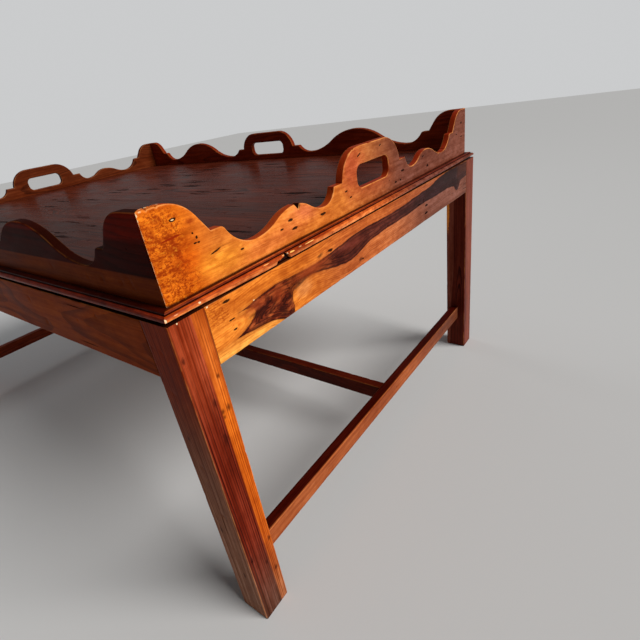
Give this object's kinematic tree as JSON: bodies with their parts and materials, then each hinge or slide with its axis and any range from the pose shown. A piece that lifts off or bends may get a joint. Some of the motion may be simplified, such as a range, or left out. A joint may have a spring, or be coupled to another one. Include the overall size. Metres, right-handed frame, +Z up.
{
  "type": "tray top coffee table",
  "caption": "Low wooden table: a stand of square legs, flush aprons and an H stretcher, with a lift-off tray whose scalloped gallery is pierced by hand holes.",
  "frame": {"origin": "on the floor, under the middle of the table", "axes": "+X along the table's length, +Y across it towards the rear, +Z up"},
  "size_m": [1.148, 0.814, 0.559],
  "materials": {
    "honey_pine": "glossy polished pine with a honey stain",
    "red_pine": "glossy red-brown stained pine",
    "dark_pine": "glossy dark brown stained pine",
    "moulding_pine": "glossy orange-brown stained pine",
    "plain_pine": "unpolished pine",
    "screw_steel": "plain steel wood screws"
  },
  "bodies": {
    "stand": {"leg_front_left": "red_pine", "leg_front_right": "red_pine", "leg_rear_left": "red_pine", "leg_rear_right": "red_pine", "apron_front": "honey_pine", "apron_right": "honey_pine", "apron_rear": "honey_pine", "apron_left": "honey_pine", "stretcher_left": "red_pine", "stretcher_right": "red_pine", "stretcher_centre": "red_pine", "corner_block_front_left": "plain_pine", "corner_block_front_right": "plain_pine", "corner_block_rear_left": "plain_pine", "corner_block_rear_right": "plain_pine", "corner_block_screws": "screw_steel"},
    "tray": {"floor_board_1": "dark_pine", "floor_board_2": "dark_pine", "floor_board_3": "dark_pine", "floor_board_4": "dark_pine", "floor_board_5": "dark_pine", "gallery_front": "honey_pine", "gallery_right": "honey_pine", "gallery_rear": "honey_pine", "gallery_left": "honey_pine", "moulding_front": "moulding_pine", "moulding_right": "moulding_pine", "moulding_rear": "moulding_pine", "moulding_left": "moulding_pine", "batten_left": "plain_pine", "batten_centre": "plain_pine", "batten_right": "plain_pine", "batten_screws": "screw_steel"}
  },
  "joints": [
    {"name": "tray_lift", "type": "slide", "parent": "stand", "child": "tray", "axis": [0, 0, 1], "range_m": [0, 0.3]}
  ]
}
